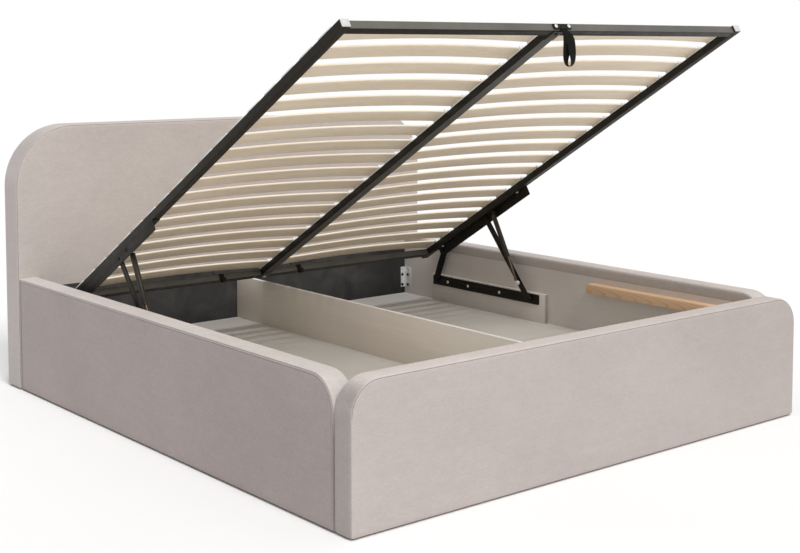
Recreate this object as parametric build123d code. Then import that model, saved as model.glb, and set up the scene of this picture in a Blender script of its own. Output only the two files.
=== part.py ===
from build123d import *
import math
import os

# Upholstered storage bed with a slatted platform that lifts on gas springs.
# Millimetres. X to the right seen from the foot, Y toward the headboard, Z up.
# The origin is on the floor, under the middle of the bed's outline.
# It is drawn with the platform lifted.

os.makedirs("parts", exist_ok=True)

# Outside of the bed
bed_width = 1980
inner_length = 2005
side_height = 430
panel_lift = 3
headboard_overhang = 5
headboard_height = 1010
headboard_thickness = 112
headboard_corner_radius = 235
footboard_thickness = 78
rail_thickness = 78
side_corner_radius = 100
edge_radius = 14
headboard_edge_radius = 18

# Padding, linings, inner boards and the hollow cores behind them
padding_thickness = 8
headboard_padding = 12
core_board_thickness = 10
core_frame_width = 45
inner_board_thickness = 8
fabric_turn_in = 42
lining_thickness = 1.5

# Storage floor and divider
floor_height = 160
floor_panel_thickness = 6
bearer_height = 40
ledge_width = 25
bearer_width = 60
cross_bearer_count = 3
support_foot_count = 3
support_foot_radius = 20
glide_radius = 18
glide_inset = 60
divider_thickness = 16
divider_top = 340
divider_offset = -7
edging_thickness = 1
strap_notch_length = 118
strap_notch_depth = 130

# Lifting platform
platform_side_gap = 30
tube_width = 30
tube_height = 25
tube_wall = 1.5
closed_head_gap = 8
closed_foot_gap = 12
closed_underside = 366
open_head_gap = 199
open_underside = 350
open_tilt = 30.7
end_tube_inset = 6
head_tube_inset = 22
beam_width = 40
beam_offset = -30
beam_tab_length = 26
beam_tab_thickness = 2.5
cap_thickness = 4

# Slats and their holders
slat_count = 18
slat_pitch = 105.9
slat_width = 66
slat_thickness = 8
slat_bow = 13
slat_end_level = 2.5
slat_foot_margin = 93
slat_insert = 18
holder_length = 74
holder_height = 13
holder_overhang = 2
holder_reach = 18

# Lift mechanism
mount_board_thickness = 16
mount_board_top = 281
mount_board_foot_margin = 33
mount_board_head_margin = 12
plate_thickness = 4
plate_height = 42
plate_corner_radius = 6
plate_length = 674
plate_head_reach = 27
pivot_height = 255
angle_thickness = 3
angle_drop = 38
angle_foot_end = 745
angle_head_end = 98
rear_pivot_along = 125
rear_pivot_drop = 17
front_pivot_along = 455
front_pivot_drop = 17
gas_pivot_along = 520
gas_pivot_drop = 12
stud_along_arm = 82
arm_width = 26
link_width = 34
arm_thickness = 5
layer_gap = 0.5
link_gap = 2
pin_radius = 4
pin_clearance = 0.06
pin_head_radius = 7.5
pin_head_thickness = 2.5
rivet_tail_radius = 6
rivet_tail_thickness = 1.5
spacer_radius = 8
gas_pin_radius = 4.5
gas_radius = 10
gas_axis_gap = 12.5
gas_cylinder_length = 200
gas_eye_radius = 8
gas_eye_thickness = 10
gas_neck_radius = 4
gas_neck_length = 16
gas_rod_radius = 6
gas_rod_inside = 40
gas_bore_depth = 150
collar_length = 5
collar_lip = 0.8
stud_cap_radius = 9.5
stud_cap_thickness = 14
stud_neck_radius = 4
stud_gap = 0.4

# Ledge battens, corner brackets and screws
batten_depth = 42
batten_height = 37
batten_length = 815
batten_gap = 0.5
bracket_height = 94
bracket_bottom = 189
bracket_thickness = 2.5
bracket_short_leaf = 25
bracket_long_leaf = 44
bracket_hole_rows = 4
screw_radius = 2.5
screw_head_radius = 6.5
screw_head_thickness = 2.5
screw_length = 20
bolt_radius = 3
bolt_head_radius = 6
bolt_head_thickness = 3

# Pull strap and head clips
strap_width = 38
strap_offset = -15
strap_drop = 125
strap_thickness = 2
strap_bulge = 15
strap_tab = 4
strap_plate_width = 76
strap_plate_height = 18
strap_cover = 2
clip_width = 20
clip_thickness = 5
clip_reach = 16
clip_drop = 14
clip_left_offset = -238
clip_right_offset = 141
clip_pin_radius = 2
clip_pin_height = 35
clip_pin_setback = 4
clip_pin_offset = -30

# Shares, counted along the piece that each one belongs to
plate_screw_shares = (0.353, 0.651, 0.85)
angle_bolt_shares = (0.07, 0.92)
beam_bolt_share = 0.5
clip_lip_share = 0.8
bracket_hole_shares = (0.6, 0.7)

overrun = 5

# Places that follow from the sizes above
total_length = footboard_thickness + inner_length + headboard_thickness
foot_front = -total_length / 2
foot_back = foot_front + footboard_thickness
head_front = foot_back + inner_length
half_width = bed_width / 2
headboard_width = bed_width + 2 * headboard_overhang
rail_inner = half_width - rail_thickness
strip_bottom = side_height - fabric_turn_in
tube_outer = rail_inner - platform_side_gap
tube_inner = tube_outer - tube_width
platform_length = inner_length - closed_head_gap - closed_foot_gap
closed_y = head_front - closed_head_gap
open_y = head_front - open_head_gap
board_face = rail_inner - mount_board_thickness
plate_face = board_face - plate_thickness
angle_face = tube_outer - angle_thickness
link_inner = tube_outer + link_gap
link_outer = link_inner + arm_thickness
arm_outer = angle_face - layer_gap
arm_inner = arm_outer - arm_thickness
gas_axis = arm_inner - gas_axis_gap
divider_left = divider_offset - divider_thickness / 2
divider_right = divider_offset + divider_thickness / 2


def block(x0, x1, y0, y1, z0, z1):
    """A box between two corners."""
    low = (min(x0, x1), min(y0, y1), min(z0, z1))
    return Pos(*low) * Box(abs(x1 - x0), abs(y1 - y0), abs(z1 - z0), align=(Align.MIN, Align.MIN, Align.MIN))


def rod_x(radius, x0, x1, y, z):
    """A cylinder along X at one place in the side view."""
    middle = (x0 + x1) / 2
    return Pos(middle, y, z) * Rot(0, 90, 0) * Cylinder(radius, abs(x1 - x0))


def rod_y(radius, x, y0, y1, z):
    """A cylinder along Y."""
    return Pos(x, (y0 + y1) / 2, z) * Rot(90, 0, 0) * Cylinder(radius, abs(y1 - y0))


def rod_z(radius, x, y, z0, z1):
    """A cylinder along Z."""
    return Pos(x, y, (z0 + z1) / 2) * Cylinder(radius, abs(z1 - z0))


def join(pieces):
    """One solid from pieces that touch or overlap."""
    result = pieces[0]
    for piece in pieces[1:]:
        result = result + piece
    return result


def cut(body, tools):
    """The body with every tool taken away."""
    for tool in tools:
        body = body - tool
    return body


def save(name, pieces):
    """One STEP file for a node, with its pieces as separate solids."""
    solids = []
    for piece in pieces:
        solids.extend(piece.solids())
    shape = solids[0] if len(solids) == 1 else Compound(children=solids)
    export_step(shape, f"parts/{name}.step")


def mirrored(piece):
    """The same piece on the left side of the bed."""
    return piece.mirror(Plane.YZ)


def save_pair(name, pieces):
    """The right piece and its mirror image, as two nodes."""
    save(f"{name}_right", pieces)
    save(f"{name}_left", [mirrored(piece) for piece in pieces])


def platform_point(along, above, closed=False):
    """Side view place of a platform point, along its tubes from the head and above their underside."""
    tilt = 0 if closed else math.radians(open_tilt)
    y = closed_y if closed else open_y
    z = closed_underside if closed else open_underside
    forward = (-math.cos(tilt), math.sin(tilt))
    upward = (math.sin(tilt), math.cos(tilt))
    return (y + along * forward[0] + above * upward[0], z + along * forward[1] + above * upward[1])


def base_pivot(along, drop):
    """Pivot on the base plate, equally far from one platform point when lifted and when lowered."""
    lifted = platform_point(along, -drop)
    lowered = platform_point(along, -drop, closed=True)
    middle_y = (lifted[0] + lowered[0]) / 2
    middle_z = (lifted[1] + lowered[1]) / 2
    slope = (lowered[1] - lifted[1]) / (lowered[0] - lifted[0])
    return (middle_y - (pivot_height - middle_z) * slope, pivot_height)


def on_platform(piece):
    """Moves a piece drawn with its tubes along -Y and its underside at zero onto the lifted platform."""
    return Pos(0, open_y, open_underside) * Rot(-open_tilt, 0, 0) * piece


rear_base = base_pivot(rear_pivot_along, rear_pivot_drop)
front_base = base_pivot(front_pivot_along, front_pivot_drop)
rear_top = platform_point(rear_pivot_along, -rear_pivot_drop)
front_top = platform_point(front_pivot_along, -front_pivot_drop)
gas_top = platform_point(gas_pivot_along, -gas_pivot_drop)
arm_reach = math.dist(front_base, front_top)
stud_share = stud_along_arm / arm_reach
gas_stud = (
    front_base[0] + (front_top[0] - front_base[0]) * stud_share,
    front_base[1] + (front_top[1] - front_base[1]) * stud_share,
)
plate_head_end = rear_base[0] + plate_head_reach
plate_foot_end = plate_head_end - plate_length


def end_panel(width, height, thickness, corner, front, bottom):
    """Upright board with rounded top corners, its front at one Y."""
    half = width / 2
    outline = Polyline((-half, bottom), (half, bottom), (half, height), (-half, height), close=True)
    back = Plane((0, front + thickness, 0), x_dir=(1, 0, 0), z_dir=(0, -1, 0))
    panel = extrude(back * make_face(outline), thickness)
    tops = panel.edges().filter_by(Axis.Y).group_by(Axis.Z)[-1]
    return fillet(tops, corner)


def soften(panel, axis, radius):
    """Rounds the two outlines of a panel except at its foot."""
    low = panel.bounding_box().min.Z
    chosen = []
    for face in (panel.faces().sort_by(axis)[0], panel.faces().sort_by(axis)[-1]):
        chosen.extend(edge for edge in face.edges() if edge.center().Z > low + radius)
    return fillet(chosen, radius)


def headboard():
    """Core board, padded cover and the dark lining seen inside the storage."""
    shell = end_panel(
        headboard_width,
        headboard_height,
        headboard_thickness,
        headboard_corner_radius,
        head_front,
        panel_lift,
    )
    core = end_panel(
        headboard_width - 2 * headboard_padding,
        headboard_height - headboard_padding,
        headboard_thickness - 2 * headboard_padding,
        headboard_corner_radius - headboard_padding,
        head_front + headboard_padding,
        panel_lift,
    )
    inset = headboard_padding + core_frame_width
    hollow = end_panel(
        headboard_width - 2 * inset,
        headboard_height - inset,
        headboard_thickness - 2 * headboard_padding - 2 * core_board_thickness,
        headboard_corner_radius - inset,
        head_front + headboard_padding + core_board_thickness,
        panel_lift - overrun,
    )
    save("headboard_core", [core - hollow])
    save("headboard_upholstery", [soften(shell, Axis.Y, headboard_edge_radius) - core])
    lining = block(
        -rail_inner, rail_inner, head_front - lining_thickness, head_front, floor_height, strip_bottom
    )
    save("headboard_lining", [lining])


def footboard():
    """Core board, padded cover and the inner board of the foot end."""
    shell = end_panel(bed_width, side_height, footboard_thickness, side_corner_radius, foot_front, panel_lift)
    core = end_panel(
        bed_width - 2 * padding_thickness,
        side_height - padding_thickness,
        footboard_thickness - padding_thickness - inner_board_thickness,
        side_corner_radius - padding_thickness,
        foot_front + padding_thickness,
        panel_lift,
    )
    board_front = foot_back - inner_board_thickness
    board = block(-rail_inner, rail_inner, board_front, foot_back, panel_lift, strip_bottom)
    inset = padding_thickness + core_frame_width
    hollow_front = foot_front + padding_thickness + core_board_thickness
    hollow = end_panel(
        bed_width - 2 * inset,
        side_height - inset,
        board_front - core_board_thickness - hollow_front,
        side_corner_radius - inset,
        hollow_front,
        panel_lift - overrun,
    )
    save("footboard_core", [core - hollow])
    save("footboard_upholstery", [cut(soften(shell, Axis.Y, edge_radius), [core, board])])
    save("footboard_inner_board", [board])


def rail_solid(inner, outer, top, corner):
    """Side rail slab whose top corner at the foot end is rounded."""
    slab = block(inner, outer, foot_back, head_front, panel_lift, top)
    edge = slab.edges().filter_by(Axis.X).group_by(Axis.Z)[-1].sort_by(Axis.Y)[0]
    return fillet(edge, corner)


def side_rails():
    """Core, padded cover and light inner board of each side rail."""
    shell = rail_solid(rail_inner, half_width, side_height, side_corner_radius)
    board_back = rail_inner + inner_board_thickness
    core_top = side_height - padding_thickness
    core_corner = side_corner_radius - padding_thickness
    core = rail_solid(board_back, half_width - padding_thickness, core_top, core_corner)
    hollow = block(
        board_back + core_board_thickness,
        half_width - padding_thickness - core_board_thickness,
        foot_back + side_corner_radius,
        head_front + overrun,
        panel_lift + core_frame_width,
        core_top - core_frame_width,
    )
    board = rail_solid(rail_inner, board_back, core_top, core_corner)
    board = board - block(rail_inner, board_back, foot_back, head_front, strip_bottom, side_height)
    chosen = []
    for face in (shell.faces().sort_by(Axis.X)[0], shell.faces().sort_by(Axis.X)[-1]):
        for edge in face.edges():
            if edge.center().Z > panel_lift + edge_radius and edge.center().Y < head_front - edge_radius:
                chosen.append(edge)
    soft = fillet(chosen, edge_radius / 2)
    save_pair("side_rail_core", [core - hollow])
    save_pair("side_rail_upholstery", [cut(soft, [core, board])])
    save_pair("side_rail_inner_board", [board])


def floor_panels():
    """The two panels of the storage floor, one on each side of the divider."""
    head_end = head_front - lining_thickness
    panel_bottom = floor_height - floor_panel_thickness
    panels = {
        "left": block(-rail_inner, divider_left, foot_back, head_end, panel_bottom, floor_height),
        "right": block(divider_right, rail_inner, foot_back, head_end, panel_bottom, floor_height),
    }
    for side, panel in panels.items():
        save(f"floor_panel_{side}", [panel])


def divider():
    """The board between the two halves, notched where the lowered strap hangs, and its edging."""
    head_end = head_front - lining_thickness
    panel_bottom = floor_height - floor_panel_thickness
    edging_bottom = divider_top - edging_thickness
    notch_end = foot_back + strap_notch_length
    notch_bottom = divider_top - strap_notch_depth
    board = join([
        block(divider_left, divider_right, foot_back, head_end, panel_bottom, notch_bottom),
        block(divider_left, divider_right, notch_end, head_end, panel_bottom, edging_bottom),
    ])
    edging = block(divider_left, divider_right, notch_end, head_end, edging_bottom, divider_top)
    save("divider_board", [board])
    save("divider_edging", [edging])


def evenly_placed(count):
    """Places that split the inner length into equal fields."""
    return [foot_back + inner_length * (number + 1) / (count + 1) for number in range(count)]


def floor_bearers():
    """Ledges on the rails, a bearer along the middle, cross bearers between them, and the support feet."""
    panel_bottom = floor_height - floor_panel_thickness
    bearer_bottom = panel_bottom - bearer_height
    centre_left = divider_offset - bearer_width / 2
    centre_right = divider_offset + bearer_width / 2
    bearers = [
        block(centre_left, centre_right, foot_back, head_front, bearer_bottom, panel_bottom),
        block(rail_inner - ledge_width, rail_inner, foot_back, head_front, bearer_bottom, panel_bottom),
        block(-rail_inner, ledge_width - rail_inner, foot_back, head_front, bearer_bottom, panel_bottom),
    ]
    for middle in evenly_placed(cross_bearer_count):
        near = middle - bearer_width / 2
        far = middle + bearer_width / 2
        bearers.append(block(ledge_width - rail_inner, centre_left, near, far, bearer_bottom, panel_bottom))
        bearers.append(block(centre_right, rail_inner - ledge_width, near, far, bearer_bottom, panel_bottom))
    save("floor_bearers", bearers)
    feet = []
    for middle in evenly_placed(support_foot_count):
        feet.append(rod_z(support_foot_radius, divider_offset, middle, 0, bearer_bottom))
    save("support_feet", feet)


def floor_glides():
    """Flat glides under the rails and the two end panels."""
    glides = []
    for side in (-1, 1):
        x = side * (half_width - rail_thickness / 2)
        for y in (foot_back + glide_inset, (foot_back + head_front) / 2, head_front - glide_inset):
            glides.append(rod_z(glide_radius, x, y, 0, panel_lift))
        glides.append(rod_z(glide_radius, x, foot_front + footboard_thickness / 2, 0, panel_lift))
        glides.append(rod_z(glide_radius, x, head_front + headboard_thickness / 2, 0, panel_lift))
    save("floor_glides", glides)


def flat_link(start, end, width, x0, x1):
    """Flat bar with rounded ends between two pivots of the side view."""
    length = math.dist(start, end)
    angle = math.degrees(math.atan2(end[1] - start[1], end[0] - start[0]))
    bar = block(x0, x1, 0, length, -width / 2, width / 2)
    bar = join([bar, rod_x(width / 2, x0, x1, 0, 0), rod_x(width / 2, x0, x1, length, 0)])
    return Pos(0, start[0], start[1]) * Rot(angle, 0, 0) * bar


def plate_screw_places():
    """Heights and distances of the screws along the base plate."""
    return [(plate_foot_end + plate_length * share, pivot_height) for share in plate_screw_shares]


def base_plates():
    """Mounting boards, base plates, their screws and the two fixed pivots of each side."""
    low = pivot_height - plate_height / 2
    high = pivot_height + plate_height / 2
    board = block(
        board_face,
        rail_inner,
        plate_foot_end - mount_board_foot_margin,
        plate_head_end + mount_board_head_margin,
        floor_height,
        mount_board_top,
    )
    plate = block(plate_face, board_face, plate_foot_end, plate_head_end, low, high)
    plate = fillet(plate.edges().filter_by(Axis.X), plate_corner_radius)
    screws = []
    for y, z in plate_screw_places():
        shank = rod_x(screw_radius, plate_face, plate_face + screw_length, y, z)
        head = rod_x(screw_head_radius, plate_face - screw_head_thickness, plate_face, y, z)
        plate = plate - shank
        board = board - shank
        screws.append(join([shank, head]))
    save_pair("lift_mount_board", [board])
    save_pair("lift_base_plate", [plate])
    save("base_plate_screws", screws + [mirrored(screw) for screw in screws])
    pivots = [
        fixed_pivot(rear_base, link_outer, link_inner),
        fixed_pivot(front_base, arm_outer, arm_inner),
    ]
    save("base_pivots", pivots + [mirrored(pivot) for pivot in pivots])


def fixed_pivot(place, near, far):
    """Spacer on the base plate, pin through the bar, and the pin's head."""
    y, z = place
    spacer = rod_x(spacer_radius, near + pin_clearance, plate_face, y, z)
    pin = rod_x(pin_radius, far - pin_clearance, near + pin_clearance, y, z)
    head = rod_x(pin_head_radius, far - pin_clearance - pin_head_thickness, far - pin_clearance, y, z)
    return join([spacer, pin, head])


def arms_and_links():
    """The long front arms and the short rear links."""
    arm = flat_link(front_base, front_top, arm_width, arm_inner, arm_outer)
    hole = pin_radius + pin_clearance
    for y, z in (front_base, front_top):
        arm = arm - rod_x(hole, arm_inner - overrun, arm_outer + overrun, y, z)
    save_pair("front_arm", [arm])
    link = flat_link(rear_base, rear_top, link_width, link_inner, link_outer)
    link = link - rod_x(hole, link_inner - overrun, link_outer + overrun, *rear_base)
    stub = rod_x(pin_head_radius, link_outer, link_outer + layer_gap, *rear_top)
    face = rod_x(pin_head_radius, tube_outer + stud_gap, link_inner, *rear_top)
    save_pair("rear_link", [join([link, stub, face])])


def gas_springs():
    """Cylinder, collar, rod and end stud of each gas spring."""
    length = math.dist(gas_top, gas_stud)
    turn = math.degrees(math.atan2(gas_stud[1] - gas_top[1], gas_stud[0] - gas_top[0]))
    place = Pos(gas_axis, *gas_top) * Rot(turn, 0, 0)
    eye = rod_x(gas_eye_radius, -gas_eye_thickness / 2, gas_eye_thickness / 2, 0, 0)
    neck = rod_y(gas_neck_radius, 0, 0, gas_neck_length, 0)
    tube = rod_y(gas_radius, 0, gas_neck_length, gas_cylinder_length, 0)
    bore_start = gas_cylinder_length - gas_bore_depth
    bore_end = gas_cylinder_length + collar_length + overrun
    bore = rod_y(gas_rod_radius + pin_clearance, 0, bore_start, bore_end, 0)
    hole = rod_x(gas_pin_radius + pin_clearance, -gas_eye_thickness, gas_eye_thickness, 0, 0)
    cylinder = cut(join([eye, neck, tube]), [bore, hole])
    collar = rod_y(gas_radius + collar_lip, 0, gas_cylinder_length, gas_cylinder_length + collar_length, 0)
    rod = rod_y(gas_rod_radius, 0, gas_cylinder_length - gas_rod_inside, length, 0)
    cap = rod_x(stud_cap_radius, -stud_cap_thickness / 2, stud_cap_thickness / 2, length, 0)
    stud = rod_x(stud_neck_radius, stud_cap_thickness / 2, gas_axis_gap - stud_gap, length, 0)
    save_pair("gas_cylinder", [place * cylinder])
    save_pair("gas_collar", [place * (collar - bore)])
    save_pair("gas_rod", [place * rod])
    save_pair("gas_end_stud", [place * (join([cap, stud]) - rod)])


def tube(x0, x1, y0, y1, open_along):
    """Rectangular steel tube on the platform's underside plane, open at both ends."""
    body = block(x0, x1, y0, y1, 0, tube_height)
    side = tube_wall if open_along == "y" else -overrun
    end = tube_wall if open_along == "x" else -overrun
    hollow = block(x0 + side, x1 - side, y0 + end, y1 - end, tube_wall, tube_height - tube_wall)
    return body - hollow


def angle_bolt_places():
    """Distances along the platform of the bolts that hold each angle."""
    span = angle_foot_end - angle_head_end
    return [-(angle_head_end + span * share) for share in angle_bolt_shares]


def side_tubes():
    """Side tubes and the angles bolted under them. Gives back the right side's bolts."""
    bolt_x = tube_outer - tube_width / 2
    side = tube(tube_inner, tube_outer, -platform_length, 0, "y")
    angle = join([
        block(tube_inner, tube_outer, -angle_foot_end, -angle_head_end, -angle_thickness, 0),
        block(angle_face, tube_outer, -angle_foot_end, -angle_head_end, -angle_drop, 0),
    ])
    bolts = []
    for y in angle_bolt_places():
        shank = rod_z(bolt_radius, bolt_x, y, -angle_thickness, tube_wall)
        head = rod_z(bolt_head_radius, bolt_x, y, -angle_thickness - bolt_head_thickness, -angle_thickness)
        side = side - shank
        angle = angle - shank
        bolts.append(join([shank, head]))
    front_hole = rod_x(pin_radius, angle_face, tube_outer, -front_pivot_along, -front_pivot_drop)
    gas_hole = rod_x(gas_pin_radius, angle_face, tube_outer, -gas_pivot_along, -gas_pivot_drop)
    angle = cut(angle, [front_hole, gas_hole])
    save_pair("side_tube", [on_platform(side)])
    save_pair("lift_angle", [on_platform(angle)])
    return bolts


def cross_tubes():
    """Foot tube, head tube and the beam between them, with tabs under both. Gives back the beam's bolts."""
    foot_near = -platform_length + end_tube_inset
    foot_far = foot_near + tube_width
    head_near = -head_tube_inset - tube_width
    foot_tube = tube(-tube_inner, tube_inner, foot_near, foot_far, "x")
    head_tube = tube(-tube_inner, tube_inner, head_near, -head_tube_inset, "x")
    beam_left = beam_offset - beam_width / 2
    beam_right = beam_offset + beam_width / 2
    beam = [tube(beam_left, beam_right, foot_far, head_near, "y")]
    beam_bolts = []
    for end, outward in ((head_near, 1), (foot_far, -1)):
        tip = end + outward * beam_tab_length
        root = end - outward * beam_tab_length
        bolt_y = end + outward * beam_tab_length * beam_bolt_share
        shank = rod_z(bolt_radius, beam_offset, bolt_y, -beam_tab_thickness, tube_wall)
        under = -beam_tab_thickness
        head = rod_z(bolt_head_radius, beam_offset, bolt_y, under - bolt_head_thickness, under)
        beam.append(block(beam_left, beam_right, root, tip, under, 0) - shank)
        foot_tube = foot_tube - shank
        head_tube = head_tube - shank
        beam_bolts.append(join([shank, head]))
    save("foot_tube", [on_platform(foot_tube)])
    save("head_tube", [on_platform(head_tube)])
    save("centre_beam", [on_platform(join(beam))])
    return beam_bolts


def platform_tubes():
    """All tubes of the platform, the bolts that hold them and the caps in the ends of the side tubes."""
    bolts = side_tubes()
    beam_bolts = cross_tubes()
    frame_bolts = bolts + [mirrored(bolt) for bolt in bolts] + beam_bolts
    save("frame_bolts", [on_platform(bolt) for bolt in frame_bolts])
    caps = []
    for y0, y1 in ((-platform_length - cap_thickness, -platform_length), (0, cap_thickness)):
        caps.append(block(tube_inner, tube_outer, y0, y1, 0, tube_height))
    save("tube_end_caps", [on_platform(cap) for cap in caps + [mirrored(cap) for cap in caps]])


def angle_pivot(place, radius, inner_end):
    """Pin riveted through the angle, with a head inside and a tail outside."""
    y, z = place
    pin = rod_x(radius, inner_end, tube_outer, y, z)
    head = rod_x(pin_head_radius, inner_end - pin_head_thickness, inner_end, y, z)
    tail = rod_x(rivet_tail_radius, tube_outer, tube_outer + rivet_tail_thickness, y, z)
    return join([pin, head, tail])


def platform_pivots():
    """Pins on the angles for the front arms and gas springs, and the inner heads of the rear links' pins."""
    pins = [
        angle_pivot(front_top, pin_radius, arm_inner - pin_clearance),
        angle_pivot(gas_top, gas_pin_radius, gas_axis - gas_eye_thickness / 2 - pin_clearance),
        rod_x(pin_head_radius, angle_face - pin_head_thickness, angle_face, *rear_top),
    ]
    save("platform_pivots", pins + [mirrored(pin) for pin in pins])


def slat(x0, x1):
    """One sprung slat, bowed upward between two places across the platform."""
    low = tube_height + slat_end_level
    high = low + slat_thickness
    middle = (x0 + x1) / 2
    outline = [
        ThreePointArc((x0, low), (middle, low + slat_bow), (x1, low)),
        Line((x1, low), (x1, high)),
        ThreePointArc((x1, high), (middle, high + slat_bow), (x0, high)),
        Line((x0, high), (x0, low)),
    ]
    face = make_face(outline)
    plane = Plane((0, slat_width / 2, 0), x_dir=(1, 0, 0), z_dir=(0, -1, 0))
    return extrude(plane * face, slat_width)


def slats_and_holders():
    """Two rows of slats with plastic holders on the side tubes and on the centre beam."""
    beam_left = beam_offset - beam_width / 2
    beam_right = beam_offset + beam_width / 2
    holder_inner = tube_inner - holder_overhang
    left_slat = slat(-holder_inner - slat_insert, beam_left - holder_overhang + slat_insert)
    right_slat = slat(beam_right + holder_overhang - slat_insert, holder_inner + slat_insert)
    top = tube_height + holder_height
    half = holder_length / 2
    outer = block(holder_inner, tube_inner + holder_reach, -half, half, tube_height, top)
    outer_right = outer - right_slat
    outer_left = mirrored(outer) - left_slat
    centre_left = beam_left - holder_overhang
    centre_right = beam_right + holder_overhang
    centre = block(centre_left, centre_right, -half, half, tube_height, top)
    centre = cut(centre, [left_slat, right_slat])
    rows = {
        "slats_left": left_slat,
        "slats_right": right_slat,
        "slat_holders_left": outer_left,
        "slat_holders_right": outer_right,
        "slat_holders_centre": centre,
    }
    first = -platform_length + slat_foot_margin
    for name, piece in rows.items():
        places = [first + slat_pitch * number for number in range(slat_count)]
        save(name, [on_platform(Pos(0, y, 0) * piece) for y in places])


def ledge_battens():
    """Pine battens at the foot end that the lowered platform rests on."""
    top = closed_underside - batten_gap
    foot_end = foot_back
    head_end = foot_end + batten_length
    batten = block(rail_inner - batten_depth, rail_inner, foot_end, head_end, top - batten_height, top)
    save_pair("ledge_batten", [batten])


def corner_brackets():
    """Steel angles that tie the rails to the end panels, with their screws."""
    brackets = []
    screws = []
    ends = ((head_front - lining_thickness, -1), (foot_back, 1))
    for y, inward in ends:
        long_end = y + inward * bracket_long_leaf
        short_end = rail_inner - bracket_short_leaf
        top = bracket_bottom + bracket_height
        bracket = join([
            block(rail_inner - bracket_thickness, rail_inner, y, long_end, bracket_bottom, top),
            block(short_end, rail_inner, y, y + inward * bracket_thickness, bracket_bottom, top),
        ])
        long_share, short_share = bracket_hole_shares
        hole_y = y + inward * bracket_long_leaf * long_share
        hole_x = rail_inner - bracket_short_leaf * short_share
        for row in range(bracket_hole_rows):
            z = bracket_bottom + bracket_height * (row + 0.5) / bracket_hole_rows
            along_x = rod_x(screw_radius, rail_inner - bracket_thickness, rail_inner, hole_y, z)
            along_y = rod_y(screw_radius, hole_x, y, y + inward * bracket_thickness, z)
            bracket = cut(bracket, [along_x, along_y])
            if row % 2 == 0:
                screws.append(bracket_screw_x(hole_y, z))
                screws.append(bracket_screw_y(hole_x, y, inward, z))
        brackets.append(bracket)
    save("corner_brackets", brackets + [mirrored(bracket) for bracket in brackets])
    save("bracket_screws", screws + [mirrored(screw) for screw in screws])


def bracket_screw_x(y, z):
    """Screw through the long leaf into the rail."""
    face = rail_inner - bracket_thickness
    shank = rod_x(screw_radius, face, rail_inner, y, z)
    return join([shank, rod_x(screw_head_radius, face - screw_head_thickness, face, y, z)])


def bracket_screw_y(x, y, inward, z):
    """Screw through the short leaf into the end panel."""
    face = y + inward * bracket_thickness
    shank = rod_y(screw_radius, x, y, face, z)
    return join([shank, rod_y(screw_head_radius, x, face, face + inward * screw_head_thickness, z)])


def pull_strap():
    """Webbing loop that hangs from the foot tube, its cover plate and two screws."""
    face = -platform_length + end_tube_inset
    middle = tube_height / 2
    half_plate = strap_plate_height / 2
    left = strap_offset - strap_width / 2
    right = strap_offset + strap_width / 2
    tab = on_platform(block(left, right, face - strap_tab, face, -strap_tab, middle + half_plate))
    corner = platform_point(platform_length - end_tube_inset, 0)
    legs_y = corner[0] - strap_thickness
    top = corner[1]
    bottom = top - strap_drop
    inner_bulge = strap_bulge - strap_thickness
    outer_loop = teardrop(legs_y, top, bottom, strap_thickness, strap_bulge)
    inner_top = top - strap_bulge
    inner_loop = teardrop(legs_y, inner_top, bottom + strap_thickness, strap_thickness / 2, inner_bulge)
    plane = Plane((left, 0, 0), x_dir=(0, 1, 0), z_dir=(1, 0, 0))
    loop = extrude(plane * (outer_loop - inner_loop), strap_width)
    save("pull_strap", [join([tab, loop])])
    cover_left = strap_offset - strap_plate_width / 2
    cover_right = strap_offset + strap_plate_width / 2
    depth = strap_tab + strap_cover
    cover = block(cover_left, cover_right, face - depth, face, middle - half_plate, middle + half_plate)
    cover = cover - block(left, right, face - strap_tab, face, middle - half_plate, middle + half_plate)
    screws = []
    for x in ((cover_left + left) / 2, (cover_right + right) / 2):
        shank = rod_y(screw_radius, x, face - depth, face, middle)
        cover = cover - shank
        head = rod_y(screw_head_radius, x, face - depth - screw_head_thickness, face - depth, middle)
        screws.append(on_platform(join([shank, head])))
    save("strap_plate", [on_platform(cover)])
    save("strap_screws", screws)


def teardrop(y, top, bottom, half_top, half_bottom):
    """Outline of a hanging loop in the side view, narrow at the top and round below."""
    turn = bottom + half_bottom
    lines = [
        Line((y - half_top, top), (y - half_bottom, turn)),
        ThreePointArc((y - half_bottom, turn), (y, bottom), (y + half_bottom, turn)),
        Line((y + half_bottom, turn), (y + half_top, top)),
        Line((y + half_top, top), (y - half_top, top)),
    ]
    return make_face(lines)


def head_clips():
    """Two hooks on the foot side of the head tube, each with a thin pin on the tube beside it."""
    clips = []
    face = -head_tube_inset - tube_width
    back = face - clip_thickness
    tip = face - clip_reach
    for offset in (clip_left_offset, clip_right_offset):
        left = offset - clip_width / 2
        right = offset + clip_width / 2
        upright = block(left, right, back, face, -clip_drop, tube_height)
        foot = block(left, right, tip, face, -clip_drop, clip_thickness - clip_drop)
        lip = block(left, right, tip, tip + clip_thickness * clip_lip_share, -clip_drop, clip_thickness)
        clips.append(on_platform(join([upright, foot, lip])))
        pin_x = offset + clip_pin_offset
        pin_top = tube_height + clip_pin_height
        pin = rod_z(clip_pin_radius, pin_x, face + clip_pin_setback, tube_height, pin_top)
        clips.append(on_platform(pin))
    save("head_clips", clips)


headboard()
footboard()
side_rails()
floor_panels()
divider()
floor_bearers()
floor_glides()
base_plates()
arms_and_links()
gas_springs()
platform_tubes()
platform_pivots()
slats_and_holders()
ledge_battens()
corner_brackets()
pull_strap()
head_clips()
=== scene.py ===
import math

import bmesh
import bpy
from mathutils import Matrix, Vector, noise


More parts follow.
